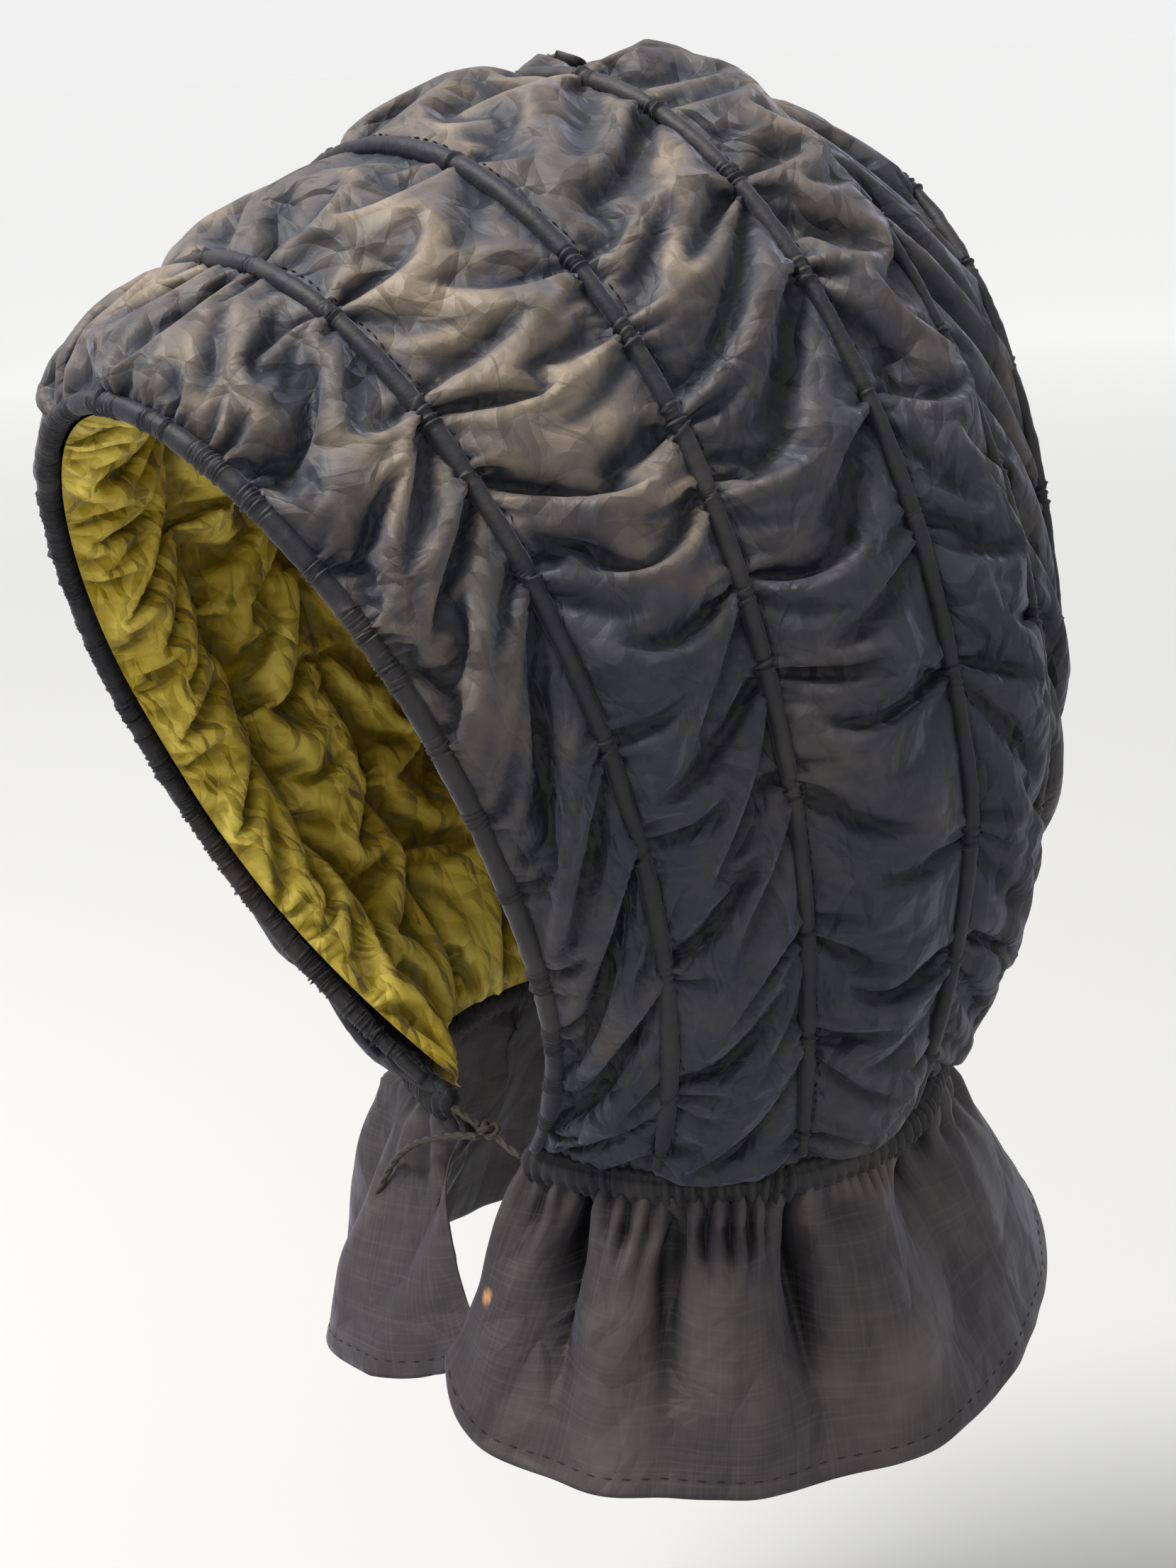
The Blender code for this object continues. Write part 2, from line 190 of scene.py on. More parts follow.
# Where the silk has worn pale: panels from the rim, metres from the crown towards the left, and the reach.
Worn = namedtuple("Worn", "panel from_crown wide long share")
WORN = (
    Worn(0.60, 0.135, 0.35, 0.035, 0.8),
    Worn(0.55, 0.195, 0.30, 0.030, 0.7),
    Worn(1.50, 0.075, 0.35, 0.045, 0.9),
    Worn(1.75, 0.160, 0.28, 0.050, 1.0),
    Worn(2.10, 0.020, 0.40, 0.040, 0.6),
    Worn(2.55, 0.110, 0.25, 0.040, 0.7),
    Worn(3.55, 0.000, 0.35, 0.035, 1.0),
    Worn(3.70, 0.075, 0.25, 0.030, 1.1),
    Worn(4.45, 0.030, 0.30, 0.040, 0.6),
)

# The tie's routes, as in the part's source.
KNOT_AT = (0.0020, -0.0605, -0.3180)
LEFT_TIE = ((0.0170, -0.0600, -0.3231), (0.0120, -0.0606, -0.3216), (0.0068, -0.0606, -0.3196))
RIGHT_TIE = ((-0.0170, -0.0600, -0.3157), (-0.0090, -0.0604, -0.3172), (-0.0030, -0.0605, -0.3182))
TIE_END = (
    (0.0010, -0.0645, -0.3195),
    (-0.0080, -0.0658, -0.3212),
    (-0.0182, -0.0668, -0.3246),
    (-0.0270, -0.0678, -0.3284),
    (-0.0352, -0.0686, -0.3338),
    (-0.0415, -0.0692, -0.3406),
    (-0.0468, -0.0697, -0.3484),
    (-0.0514, -0.0702, -0.3560),
)
TIE_D = 0.0026
TIE_PITCH = 0.011

CAMERA_TARGET = Vector((-0.00475, -0.0066, -0.2155))
CAMERA_AZIMUTH = 50.0
CAMERA_ELEVATION = 15.0
CAMERA_ROLL = -2.75
CAMERA_DISTANCE = 0.9025
FOCAL_PIXELS = 3915.0
PHOTO_HEIGHT = 2212.0
FLOOR_Z = -0.62
FLOOR_HALF_SIDE = 60.0


# Lines and grids


def neck_point(angle_deg):
    """A point of the neck line, counted from the throat round by the left."""
    angle = math.radians(angle_deg if angle_deg <= 180 else angle_deg - 360)
    x = NECK_HALF_WIDTH * math.sin(angle)
    y = -NECK_HALF_DEPTH * math.cos(angle)
    z = y * NECK_RISE - NECK_SAG * abs(math.sin(angle))
    if math.sin(angle) < 0:
        z += RIGHT_LIFT * math.cos(angle / 2) ** 2
    return NECK_CENTRE + np.array([x, y, z])


def hoop_line(hoop, samples=400):
    """A whole hoop, from its left foot over the crown to its right foot."""
    t = np.linspace(0, 1, samples)
    rise = (1 - np.cos(math.pi * t)) / 2
    foot = neck_point(hoop.neck_deg)
    below = np.clip(rise / hoop.widest, 0, 1)
    above = np.clip((rise - hoop.widest) / (1 - hoop.widest), 0, 1)
    side = foot[0] + (hoop.half_width - foot[0]) * (1 - (1 - below) ** hoop.side_power)
    crown = hoop.half_width * np.sqrt(1 - above**hoop.crown_power)
    lean = math.radians(hoop.lean_deg)
    x = np.where(rise < hoop.widest, side, crown)
    y = foot[1] - math.sin(lean) * hoop.height * rise
    z = foot[2] + math.cos(lean) * hoop.height * rise
    left = np.stack([x, y, z], axis=1)
    lift = (neck_point(-hoop.neck_deg) - foot)[2] * (1 - rise) ** 3
    right = np.stack([-x, y, z + lift], axis=1)
    return np.concatenate([left, right[-2::-1]])


def travelled(line):
    """The distance of each point of a line from its start."""
    steps = np.linalg.norm(np.diff(line, axis=0), axis=1)
    return np.concatenate([[0], np.cumsum(steps)])


def along(line, lengths):
    """The points of a line at the given distances from its start."""
    at = travelled(line)
    return np.stack([np.interp(lengths, at, line[:, i]) for i in range(3)], axis=1)


def smooth_route(points, step):
    """A smooth curve through the given points, as evenly spaced points."""
    ends = [2 * np.array(points[0]) - points[1], *points, 2 * np.array(points[-1]) - points[-2]]
    knots = np.array(ends, float)
    fine = []
    for a, b, c, d in zip(knots, knots[1:], knots[2:], knots[3:]):
        for t in np.linspace(0, 1, 12, endpoint=False):
            bend = (2 * a - 5 * b + 4 * c - d) * t**2
            twist = (3 * b - a - 3 * c + d) * t**3
            fine.append((2 * b + (c - a) * t + bend + twist) / 2)
    fine.append(knots[-2])
    line = np.array(fine)
    length = travelled(line)[-1]
    return along(line, np.linspace(0, length, max(3, round(length / step) + 1)))


def smooth_noise(rng, count, reach):
    """Random numbers along a line, smoothed over the given number of steps, from about -1 to 1."""
    raw = rng.standard_normal(count + 6 * reach)
    window = np.exp(-(np.linspace(-2, 2, 4 * reach + 1) ** 2))
    smooth = np.convolve(raw, window / math.sqrt((window**2).sum()), "same")
    return smooth[3 * reach: 3 * reach + count]


def stretched_field(rng, shape, down_reach, across_reach):
    """Random numbers over a grid, smoothed further down the grid than across it, from about -1 to 1."""
    rows, columns = shape
    field = rng.standard_normal((rows + 6 * down_reach, columns + 6 * across_reach))
    for axis, reach in ((0, down_reach), (1, across_reach)):
        window = np.exp(-(np.linspace(-2, 2, 4 * reach + 1) ** 2))
        window /= math.sqrt((window**2).sum())
        field = np.apply_along_axis(lambda line: np.convolve(line, window, "same"), axis, field)
    return field[3 * down_reach: 3 * down_reach + rows, 3 * across_reach: 3 * across_reach + columns]


def smooth_field(rng, shape, reach):
    """Random numbers over a grid, smoothed over the given number of steps, from about -1 to 1."""
    return stretched_field(rng, shape, reach, reach)


def blurred(grid, reach):
    """A grid of points or numbers, each averaged with those around it."""
    window = np.exp(-(np.linspace(-2, 2, 2 * reach + 1) ** 2))
    window /= window.sum()
    for axis in (0, 1):
        edges = [(0, 0)] * grid.ndim
        edges[axis] = (reach, reach)
        padded = np.pad(grid, edges, mode="edge")
        total = np.zeros_like(grid)
        for shift, weight in enumerate(window):
            part = [slice(None)] * grid.ndim
            part[axis] = slice(shift, shift + grid.shape[axis])
            total += weight * padded[tuple(part)]
        grid = total
    return grid


def unit(vectors):
    return vectors / np.maximum(np.linalg.norm(vectors, axis=-1, keepdims=True), 1e-12)


def square_to(line, directions):
    """The directions at a line's points, less what runs along the line, as unit vectors."""
    run = unit(np.gradient(line, axis=0))
    return unit(directions - run * np.sum(directions * run, axis=1, keepdims=True))


def relief(grid, outward_from, reach):
    """How far each point of a cloth stands out from the cloth around it."""
    around = blurred(grid, reach)
    return np.einsum("ijk,ijk->ij", grid - around, normals_of(around, outward_from))


# Cloth


def pair_slices(shape, down, across):
    """Pairs of a grid's points that lie the given rows and columns apart, in batches that share no point."""
    rows, columns = shape
    batches = []
    reach, count = (down, rows) if down else (across, columns)
    for start in range(reach):
        for half in (0, reach):
            first = np.arange(start + half, count - reach, 2 * reach)
            if not len(first):
                continue
            stop = int(first[-1]) + 1
            a = slice(start + half, stop, 2 * reach)
            b = slice(start + half + reach, stop + reach, 2 * reach)
            if down:
                left = slice(max(0, -across), columns - max(0, across))
                right = slice(max(0, across), columns - max(0, -across))
                batches.append(((a, left), (b, right)))
            else:
                batches.append(((slice(None), a), (slice(None), b)))
    return batches


def relax(points, free, along_rest, down_rest, push, floor, rounds, bend=0.12):
    """Lets a grid of cloth find its shape between its pinned points.

    free is 0 for a pinned point and 1 for a free one; along_rest and down_rest are the cut's own lengths
    along the rows and down the columns; push is the step each point is pushed by in a round; floor gives a
    base surface, its normals and the least and greatest height over it.
    """
    shape = points.shape[:2]
    base, normal, low, high = floor
    jobs = []

    def add(down, across, rest, stiffness):
        for a, b in pair_slices(shape, down, across):
            weight = free[a] + free[b]
            share_a = stiffness * free[a] / np.maximum(weight, 1e-6)
            share_b = stiffness * free[b] / np.maximum(weight, 1e-6)
            jobs.append((a, b, rest[a], share_a[..., None], share_b[..., None]))

    pad_along = np.concatenate([along_rest, along_rest[:, -1:]], axis=1)
    pad_down = np.concatenate([down_rest, down_rest[-1:]], axis=0)
    diagonal = np.sqrt(pad_along**2 + pad_down**2)
    add(0, 1, pad_along, 1.0)
    add(1, 0, pad_down, 1.0)
    add(1, 1, diagonal, 0.85)
    add(1, -1, diagonal, 0.85)
    add(0, 2, 2 * pad_along, bend)
    add(2, 0, 2 * pad_down, bend)
    last = points.copy()
    for _ in range(rounds):
        step = (points - last) * 0.86 * free[..., None]
        last = points.copy()
        points = points + step + push * free[..., None]
        for a, b, rest, share_a, share_b in jobs:
            gap = points[b] - points[a]
            length = np.sqrt(np.einsum("ijk,ijk->ij", gap, gap)) + 1e-9
            move = gap * ((length - rest) / length)[..., None]
            points[a] += move * share_a
            points[b] -= move * share_b
        height = np.einsum("ijk,ijk->ij", points - base, normal)
        fix = np.clip(height, low, high) - height
        points += normal * (fix * free)[..., None]
    return points


def doubled(grid):
    """A grid with a point added between each two, on a smooth curve through them."""
    for axis in (0, 1):
        grid = np.swapaxes(grid, 0, axis)
        padded = np.concatenate([2 * grid[:1] - grid[1:2], grid, 2 * grid[-1:] - grid[-2:-1]])
        middle = (9 * (padded[1:-2] + padded[2:-1]) - padded[:-3] - padded[3:]) / 16
        out = np.empty((2 * len(grid) - 1, *grid.shape[1:]), grid.dtype)
        out[0::2] = grid
        out[1::2] = middle
        grid = np.swapaxes(out, 0, axis)
    return grid


def normals_of(grid, outward_from):
    normal = unit(np.cross(np.gradient(grid, axis=1), np.gradient(grid, axis=0)))
    if np.sum(normal * (grid - outward_from)) < 0:
        normal = -normal
    return normal


def hood_cut(columns, draw_share, rng):
    """For each hoop, its points under evenly spaced threads of the silk, and the length of silk over it."""
    arcs, widths, feet = [], [], []
    for hoop in HOOPS:
        line = hoop_line(hoop)
        length = travelled(line)[-1]
        s = np.linspace(CLOTH_FOOT, length - CLOTH_FOOT, 4000)
        used = s - s[0]
        for side in (-1, 1):
            for place in hoop.tucks:
                middle = length / 2 + side * (place + (rng.uniform(-0.008, 0.008) if side > 0 else 0.0))
                for at in middle + rng.uniform(-TUCK_REACH, TUCK_REACH, TUCK_PLEATS):
                    drawn = hoop.draw * draw_share * rng.uniform(0.3, 1.7) / TUCK_PLEATS
                    used = used + drawn * 0.5 * (1 + np.tanh((s - at) / (TUCK_WIDTH / 2)))
        used -= used[0]
        places = np.interp(np.linspace(0, used[-1], columns), used, s)
        arcs.append(along(line, places))
        widths.append(used[-1])
        feet.append(np.minimum(places, length - places))
    return arcs, widths, feet


def hood_base(columns, panel_steps, back_steps, draw_share, rng):
    """The hood's rows on the lines of the hoops, with the silk's own lengths along and down the grid."""
    arcs, widths, feet = hood_cut(columns, draw_share, rng)
    rows, row_widths, fractions = [], [], []
    for k in range(PANELS):
        for f in np.arange(panel_steps) / panel_steps:
            foot = feet[k] * (1 - f) + feet[k + 1] * f
            row = arcs[k] * (1 - f) + arcs[k + 1] * f
            turn = HOOPS[k].neck_deg * (1 - f) + HOOPS[k + 1].neck_deg * f
            for side, end in ((1, 0), (-1, -1)):
                hem = neck_point(side * turn) + np.array([0, 0, CLOTH_FOOT])
                near = (foot < FOOT_REACH) & (side * row[:, 0] > 0)
                row[near] += (hem - row[end]) * ((1 - foot[near] / FOOT_REACH) ** 2)[:, None]
                row[end] = hem
            rows.append(row)
            row_widths.append(widths[k] * (1 - f) + widths[k + 1] * f)
            fractions.append(f)
    share = np.linspace(0, 1, columns)
    angles = NAPE_DEG + (360 - 2 * NAPE_DEG) * share
    hem = np.array([neck_point(angle) for angle in angles])
    hem[:, 2] += CLOTH_FOOT
    bulge = np.sin(math.pi * share)
    for f in np.arange(back_steps + 1) / back_steps:
        row = arcs[-1] * (1 - f) + hem * f
        row[:, 1] += BACK_BULGE * math.sin(math.pi * f) * bulge
        rows.append(row)
        row_widths.append(max(widths[-1] * (1 - f) ** 1.3, travelled(row)[-1] * 1.35))
        fractions.append(0.0 if f == 0 else 1.0)
    grid = np.array(rows)
    steps = np.linalg.norm(np.diff(grid, axis=0), axis=2)
    panel = steps[: panel_steps * PANELS] * panel_steps
    slack = panel * PANEL_SLACK + NARROW_SLACK * np.maximum(0, PANEL_FULL - panel)
    down = steps.copy()
    down[: len(panel)] = slack / panel_steps
    down[len(panel):] *= 1.05
    along_rest = np.repeat((np.array(row_widths) / (columns - 1))[:, None], columns - 1, axis=1)
    return grid, along_rest, down, np.array(fractions)


def silk_grid(inside, draw_share, columns, panel_steps, back_steps, rounds, finer_rounds, seed):
    """The hood's silk, relaxed: the cover, or the lining if inside is true."""
    rng = np.random.default_rng(seed)
    grid, along_rest, down_rest, fractions = hood_base(columns, panel_steps, back_steps, draw_share, rng)
    normal = normals_of(grid, HOOD_MIDDLE)
    on_hoop = (fractions == 0.0) & (np.arange(len(grid)) > 0)
    free = np.ones(grid.shape[:2])
    free[fractions == 0.0] = 0.0
    free[-1] = 0.0
    free[:, [0, -1]] = 0.0
    across = np.sin(math.pi * fractions)
    fade = np.minimum(1, np.minimum(np.arange(columns), np.arange(columns)[::-1]) / (0.05 * columns))
    if inside:
        base = grid - normal * LINING_DEPTH
        base[0] = grid[0] - normal[0] * LINING_RIM_DEPTH
        start = base - normal * (across[:, None] * fade * LINING_PUFF)[..., None]
        limits = LINING_LIMITS
        bias = -1.0
    else:
        sink = np.where(on_hoop, SEAT, SEAT * (1 - across))
        sink[len(grid) - back_steps - 1:] = SEAT * (1 - np.linspace(0, 1, back_steps + 1))
        base = grid - normal * (sink[:, None] * fade)[..., None]
        start = base + normal * (across[:, None] * fade * COVER_PUFF)[..., None]
        limits = COVER_LIMITS
        bias = 1.0
    if inside:
        inward = unit((NECK_CENTRE - grid) * (1, 1, 0))
        for edge in (np.s_[:, 0], np.s_[:, -1], np.s_[-1, :]):
            base[edge] = grid[edge] + inward[edge] * LINING_FOOT_INSET
            start[edge] = base[edge]
    else:
        start[0] = grid[0] + square_to(start[0], start[1] - start[0]) * (RIM_R * 0.6)
    ripple = smooth_field(rng, grid.shape[:2], 2)
    ridges = stretched_field(rng, grid.shape[:2], 8, 3)
    wider = smooth_field(rng, grid.shape[:2], 9)
    start += normal * ((0.0006 * ripple + 0.0018 * ridges + 0.0016 * wider) * free)[..., None] * bias
    push = normal * PRESSURE * bias + np.array([0, 0, -WEIGHT])
    cloth = relax(start, free, along_rest, down_rest, push, (base, normal, *limits), rounds)
    if finer_rounds:
        fine = doubled(cloth)
        base, normal = doubled(base), unit(doubled(normal))
        free = np.kron(free, np.ones((2, 2)))[: fine.shape[0], : fine.shape[1]]
        free[1::2] = 1.0
        free[:, [0, -1]] = 0.0
        free[-1] = 0.0
        rows = np.zeros(fine.shape[0], bool)
        rows[::2] = fractions == 0.0
        free[rows] = 0.0
        along_fine = np.repeat(along_rest[:, :1], 2, axis=0)[: fine.shape[0]]
        along_fine = np.repeat(along_fine / 2, fine.shape[1] - 1, axis=1)
        down_fine = np.repeat(np.repeat(down_rest / 2, 2, axis=0), 2, axis=1)
        down_fine = down_fine[:, : fine.shape[1]]
        fine += normal * (0.0006 * smooth_field(rng, fine.shape[:2], 2) * free)[..., None]
        push = doubled(push) / 4
        cloth = relax(fine, free, along_fine, down_fine, push, (base, normal, *limits), finer_rounds, 0.04)
    cut_width = float(along_rest.sum(axis=1).max())
    cut_length = float(down_rest.sum(axis=0).max())
    cut_area = float((along_rest[:-1, :].sum(axis=1) * down_rest.mean(axis=1)).sum())
    return cloth, (cut_width, cut_length), min(cut_area, cut_width * cut_length)


# Meshes


def new_object(name, data):
    made = bpy.data.objects.new(name, data)
    bpy.context.scene.collection.objects.link(made)
    return made


def mesh_piece(name, points, faces, material):
    mesh = bpy.data.meshes.new(name)
    mesh.from_pydata(np.asarray(points, float).reshape(-1, 3).tolist(), [], faces)
    mesh.validate()
    mesh.shade_smooth()
    mesh.materials.append(material)
    return new_object(name, mesh)


def grid_faces(rows, columns, closed=False):
    faces = []
    for r in range(rows - 1):
        for c in range(columns if closed else columns - 1):
            n = (c + 1) % columns
            a, b = r * columns, (r + 1) * columns
            faces.append((a + c, a + n, b + n, b + c))
    return faces


def frames_along(path):
    """At each point of a path, two directions square to it that don't twist."""
    run = unit(np.gradient(path, axis=0))
    side = np.cross(run[0], (0.0, 0.0, 1.0))
    if np.linalg.norm(side) < 0.1:
        side = np.cross(run[0], (1.0, 0.0, 0.0))
    sides = []
    for direction in run:
        side = side - direction * (side @ direction)
        side = side / np.linalg.norm(side)
        sides.append(side)
    sides = np.array(sides)
    return sides, np.cross(run, sides)


def tube_points(path, radius, sides):
    """Rings of points round a path; radius is one number, or one a ring, or one a point."""
    u, v = frames_along(path)
    turn = np.linspace(0, 2 * math.pi, sides, endpoint=False)
    radius = np.asarray(radius, float)
    if radius.ndim == 1:
        radius = radius[:, None]
    ring = np.cos(turn)[None, :, None] * u[:, None] + np.sin(turn)[None, :, None] * v[:, None]
    return path[:, None] + ring * (radius * np.ones((len(path), sides)))[..., None]


def tube_piece(name, paths_and_radii, sides, material):
    """One piece of one or more closed tubes."""
    points, faces, start = [], [], 0
    for path, radius in paths_and_radii:
        rings = tube_points(np.asarray(path, float), radius, sides)
        points.append(rings.reshape(-1, 3))
        count = len(path)
        faces += [tuple(start + i for i in face) for face in grid_faces(count, sides, closed=True)]
        faces.append(tuple(start + i for i in reversed(range(sides))))
        faces.append(tuple(start + (count - 1) * sides + i for i in range(sides)))
        start += count * sides
    return mesh_piece(name, np.concatenate(points), faces, material)


# Materials


def node_material(name):
    material = bpy.data.materials.new(name)
    material.use_nodes = True
    tree = material.node_tree
    shader = tree.nodes["Principled BSDF"]
    return material, tree, shader


def node(tree, kind, inputs=(), **settings):
    made = tree.nodes.new(kind)
    for key, value in settings.items():
        setattr(made, key, value)
    for key, value in inputs:
        if isinstance(value, bpy.types.NodeSocket):
            tree.links.new(value, made.inputs[key])
        else:
            made.inputs[key].default_value = value
    return made


def noise(tree, place, scale, detail=3.0, roughness=0.5):
    made = node(tree, "ShaderNodeTexNoise", (("Vector", place), ("Scale", scale), ("Detail", detail),
                                             ("Roughness", roughness)))
    return made.outputs["Fac"]


def ramp(tree, value, stops):
    made = node(tree, "ShaderNodeValToRGB", (("Fac", value),))
    elements = made.color_ramp.elements
    while len(elements) < len(stops):
        elements.new(0.5)
    for element, (position, colour) in zip(elements, stops):
        element.position = position
        element.color = (*colour, 1.0)
    return made.outputs["Color"]


def mix_colour(tree, share, a, b):
    made = node(tree, "ShaderNodeMix", ((0, share), (6, a), (7, (*b, 1.0))), data_type="RGBA")
    return made.outputs[2]


def arithmetic(tree, operation, a, b):
    return node(tree, "ShaderNodeMath", ((0, a), (1, b)), operation=operation).outputs[0]


def crease_height(tree, cut, scale, slope):
    """Flat facets between sharp creases, as in crumpled paper, in metres of height."""
    edge = node(tree, "ShaderNodeTexVoronoi", (("Vector", cut), ("Scale", scale)),
                feature="DISTANCE_TO_EDGE", voronoi_dimensions="2D")
    return arithmetic(tree, "MULTIPLY", edge.outputs["Distance"], slope / scale)


def flat_noise(tree, cut, scale, detail, output="Fac"):
    made = node(tree, "ShaderNodeTexNoise", (("Vector", cut), ("Scale", scale), ("Detail", detail)),
                noise_dimensions="2D")
    return made.outputs[output]


def taffeta(name, dark, worn, patchiness, roughness, creases=(), streaks=0.0, stain=None):
    """Silk taffeta: a dark ground worn pale in soft patches and on its ridges, with crisp small creases. The
    piece's tone attribute also paints light and shade into the colour: paler on the cover's crown and front,
    and dark in the folds and beside the hoops.

    creases lists the creases' scale and slope, coarse to fine; streaks is how far single threads are paler;
    stain is the colour of the spots that the piece's stain attribute marks.
    """
    material, tree, shader = node_material(name)
    coordinates = node(tree, "ShaderNodeTexCoord")
    place = coordinates.outputs["Object"]
    cut = coordinates.outputs["UV"]
    tone = node(tree, "ShaderNodeAttribute", attribute_name="tone").outputs["Fac"]
    broad = noise(tree, place, 19.0, 3.0, 0.6)
    patches = node(tree, "ShaderNodeMapRange", (("Value", broad), ("From Min", 0.45), ("From Max", 0.70)))
    patch = patches.outputs[0]
    fade = arithmetic(tree, "MULTIPLY", patch, patchiness)
    # Above 0 the tone makes the colour paler: wear, and on the cover's crown and front also painted light.
    worn_and_lit = arithmetic(tree, "MAXIMUM", tone, 0.0)
    lifted = arithmetic(tree, "MULTIPLY", worn_and_lit, arithmetic(tree, "ADD", patch, 0.45))
    small = noise(tree, place, 240.0, 2.0, 0.6)
    grain = arithmetic(tree, "MULTIPLY", arithmetic(tree, "SUBTRACT", small, 0.5), 0.25)
    share = arithmetic(tree, "ADD", arithmetic(tree, "ADD", fade, lifted), grain)
    between = tuple(0.72 * a + 0.28 * b for a, b in zip(dark, worn))
    colour = ramp(tree, share, ((0.0, dark), (0.35, between), (1.0, worn)))
    # Below 0 the tone paints shade: the colour goes towards a dark copy of the ground, in the folds and
    # beside the hoops.
    painted_shade = arithmetic(tree, "MULTIPLY", arithmetic(tree, "MINIMUM", tone, 0.0), -1.0)
    colour = mix_colour(tree, painted_shade, colour, tuple(0.15 * c for c in dark))
    if streaks:
        for stretch in ((900.0, 14.0, 1.0), (14.0, 900.0, 1.0)):
            drawn_out = node(tree, "ShaderNodeMapping", (("Vector", cut), ("Scale", stretch)))
            line = flat_noise(tree, drawn_out.outputs[0], 1.0, 2.0)
            pale = node(tree, "ShaderNodeMapRange", (("Value", line), ("From Min", 0.52), ("From Max", 0.8)))
            colour = mix_colour(tree, arithmetic(tree, "MULTIPLY", pale.outputs[0], streaks), colour, worn)
    if stain:
        spot = node(tree, "ShaderNodeAttribute", attribute_name="stain").outputs["Fac"]
        colour = mix_colour(tree, spot, colour, stain)
    tree.links.new(colour, shader.inputs["Base Color"])
    rough = node(tree, "ShaderNodeMapRange", (("Value", small), ("To Min", roughness - 0.05),
                                              ("To Max", roughness + 0.08)))
    tree.links.new(rough.outputs[0], shader.inputs["Roughness"])
    shader.inputs["Specular IOR Level"].default_value = 0.28
    shader.inputs["Sheen Weight"].default_value = 0.12
    shader.inputs["Sheen Roughness"].default_value = 0.4
    shader.inputs["Sheen Tint"].default_value = (0.72, 0.76, 1.0, 1.0)
    if creases:
        bend = flat_noise(tree, cut, 30.0, 1.0, "Color")
        shift = node(tree, "ShaderNodeVectorMath", (("Vector", bend), ("Scale", 0.018)), operation="SCALE")
        bent = node(tree, "ShaderNodeVectorMath", ((0, cut), (1, shift.outputs[0])))
        height = arithmetic(tree, "MULTIPLY", flat_noise(tree, cut, 1300.0, 0.0), 0.00003)
        for scale, slope in creases:
            height = arithmetic(tree, "ADD", height, crease_height(tree, bent.outputs[0], scale, slope))
    else:
        fine = arithmetic(tree, "MULTIPLY", noise(tree, place, 1300.0, 1.0), 0.00003)
        rumpled = arithmetic(tree, "MULTIPLY", noise(tree, place, 330.0, 2.0), 0.00035)
        height = arithmetic(tree, "ADD", fine, rumpled)
    bump = node(tree, "ShaderNodeBump", (("Height", height), ("Strength", 1.0), ("Distance", 1.0)))
    tree.links.new(bump.outputs["Normal"], shader.inputs["Normal"])
    return material


def floor_with_painted_shade():
    """A pale floor with painted shade: its colour is darker near the object, where the lamps reach it."""
    material, tree, shader = node_material("pale_floor")
    place = node(tree, "ShaderNodeTexCoord").outputs["Object"]
    # Painted shade: the floor's colour darkens towards the object.
    away = node(tree, "ShaderNodeVectorMath", (("Vector", place),), operation="LENGTH").outputs["Value"]
    share = node(tree, "ShaderNodeMapRange", (("Value", away), ("From Min", 0.7), ("From Max", 5.0)))
    colour = ramp(tree, share.outputs[0], ((0.0, (0.47, 0.47, 0.46)), (1.0, (0.995, 0.995, 0.99))))
    tree.links.new(colour, shader.inputs["Base Color"])
    shader.inputs["Roughness"].default_value = 0.9
    shader.inputs["Specular IOR Level"].default_value = 0.1
    return material


# The pieces


def set_camera():
    azimuth, elevation, roll = (math.radians(v) for v in (CAMERA_AZIMUTH, CAMERA_ELEVATION, CAMERA_ROLL))
    back = Vector((math.sin(azimuth) * math.cos(elevation), -math.cos(azimuth) * math.cos(elevation),
                   math.sin(elevation)))
    right = Vector((math.cos(azimuth), math.sin(azimuth), 0))
    up = back.cross(right)
    across = right * math.cos(roll) + up * math.sin(roll)
    upward = up * math.cos(roll) - right * math.sin(roll)
    data = bpy.data.cameras.new("camera")
    data.sensor_width = 36.0
    data.lens = 36.0 * FOCAL_PIXELS / PHOTO_HEIGHT
    camera = new_object("camera", data)
    turn = Matrix((across, upward, back)).transposed()
    camera.matrix_world = Matrix.Translation(CAMERA_TARGET + back * CAMERA_DISTANCE) @ turn.to_4x4()
    bpy.context.scene.camera = camera


def twisted(path, diameter, pitch):
    """The two strands of a twisted cord along a path, each with its radius."""
    u, v = frames_along(path)
    turn = travelled(path) * 2 * math.pi / pitch
    offset = diameter * 0.20
    strands = []
    for phase in (0, math.pi):
        ring = np.cos(turn + phase)[:, None] * u + np.sin(turn + phase)[:, None] * v
        strands.append((path + ring * offset, diameter * 0.30))
    return strands


def make_tie(material):
    ends = []
    for name, route in (("tie_cord_left", LEFT_TIE), ("tie_cord_right", RIGHT_TIE)):
        path = smooth_route(route, 0.0005)
        ends.append(tube_piece(name, twisted(path, TIE_D, TIE_PITCH), 8, material))
    path = smooth_route(TIE_END, 0.0005)
    loose = tube_piece("tie_cord_end", twisted(path, TIE_D, TIE_PITCH), 8, material)
    t = np.linspace(0, 2 * math.pi, 120)
    wide = 2 + np.cos(3 * t)
    loop = np.stack([wide * np.cos(2 * t), wide * np.sin(2 * t), np.sin(3 * t)], axis=1)
    loop = loop * (0.00125, 0.0010, 0.0014) + KNOT_AT
    knot = tube_piece("tie_knot_wraps", [(loop, 0.0010)], 8, material)
    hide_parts("tie_left")
    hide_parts("tie_right")
    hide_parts("tie_end")
    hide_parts("tie_knot")
    tip = np.array(TIE_END[-1])
    tip_path = np.linspace(tip, tip + (-0.0008, -0.0001, -0.0015), 5)
    tip_radii = np.array([0.0008, 0.0017, 0.0019, 0.0016, 0.0006])
    bead = tube_piece("tie_tip_knot", [(tip_path, tip_radii)], 10, material)
    for piece in (*ends, loose, knot, bead):
        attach(piece, "root")


